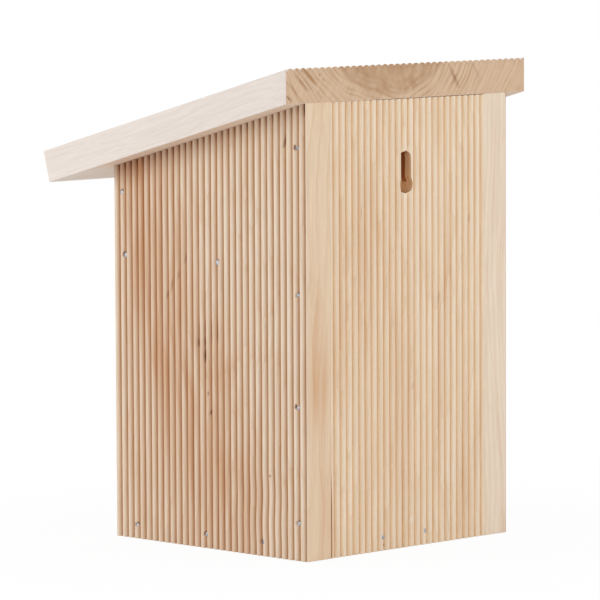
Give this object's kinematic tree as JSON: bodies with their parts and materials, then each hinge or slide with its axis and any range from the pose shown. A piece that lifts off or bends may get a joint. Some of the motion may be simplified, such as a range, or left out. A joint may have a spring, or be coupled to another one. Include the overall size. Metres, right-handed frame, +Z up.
{
  "type": "bee hotel",
  "caption": "Nailed wooden bee hotel: reeded boards, sloping roof, drilled nest block on a shelf, a bay of hollow bamboo canes below it, and a keyhole in the back for hanging.",
  "frame": {"origin": "centre of the box's footprint, on the underside of the bottom board", "axes": "+Z up, +Y out of the back that hangs on the wall, -Y out of the open front, +X to the right as seen from the front"},
  "size_m": [0.188, 0.1926, 0.2656],
  "materials": {
    "side_pine": "planed and reeded, unfinished",
    "back_pine": "planed and reeded, unfinished",
    "roof_pine": "planed and reeded, unfinished",
    "plain_pine": "planed, unfinished",
    "nest_block_pine": "sawn and drilled",
    "bamboo": "natural, sawn ends",
    "reed": "natural, cut ends",
    "nail_steel": "bright wire"
  },
  "bodies": {
    "root": {"back_panel": "back_pine", "bamboo_cane_01": "bamboo", "bamboo_cane_02": "bamboo", "bamboo_cane_03": "bamboo", "bamboo_cane_04": "bamboo", "bamboo_cane_05": "bamboo", "bamboo_cane_06": "bamboo", "bamboo_cane_07": "bamboo", "bamboo_cane_08": "bamboo", "bamboo_cane_09": "bamboo", "bamboo_cane_10": "bamboo", "bamboo_cane_11": "bamboo", "bamboo_cane_12": "bamboo", "bamboo_cane_13": "bamboo", "bamboo_cane_14": "bamboo", "bamboo_cane_15": "bamboo", "bamboo_cane_16": "bamboo", "bamboo_cane_17": "bamboo", "bamboo_cane_18": "bamboo", "bamboo_cane_19": "bamboo", "bamboo_cane_20": "bamboo", "bamboo_cane_21": "bamboo", "bamboo_cane_22": "bamboo", "bamboo_cane_23": "bamboo", "bamboo_cane_24": "bamboo", "bamboo_cane_25": "bamboo", "bamboo_cane_26": "bamboo", "bamboo_cane_27": "bamboo", "bamboo_cane_28": "bamboo", "bamboo_cane_29": "bamboo", "bamboo_cane_30": "bamboo", "bamboo_cane_31": "bamboo", "bamboo_cane_32": "bamboo", "bamboo_cane_33": "bamboo", "bamboo_cane_34": "bamboo", "bamboo_cane_35": "bamboo", "bamboo_cane_36": "bamboo", "bamboo_cane_37": "bamboo", "bamboo_cane_38": "bamboo", "bamboo_cane_39": "bamboo", "bamboo_cane_40": "bamboo", "bamboo_cane_41": "bamboo", "bamboo_cane_42": "bamboo", "bamboo_cane_43": "bamboo", "bamboo_cane_44": "bamboo", "bamboo_cane_45": "bamboo", "bamboo_cane_46": "bamboo", "bamboo_cane_47": "bamboo", "bamboo_cane_48": "bamboo", "bottom_board": "plain_pine", "left_side_nails": "nail_steel", "left_side_panel": "side_pine", "nest_block": "nest_block_pine", "rear_nails": "nail_steel", "right_side_nails": "nail_steel", "right_side_panel": "side_pine", "roof": "roof_pine", "roof_nails": "nail_steel", "shelf": "plain_pine", "thin_reeds": "reed"}
  },
  "joints": []
}
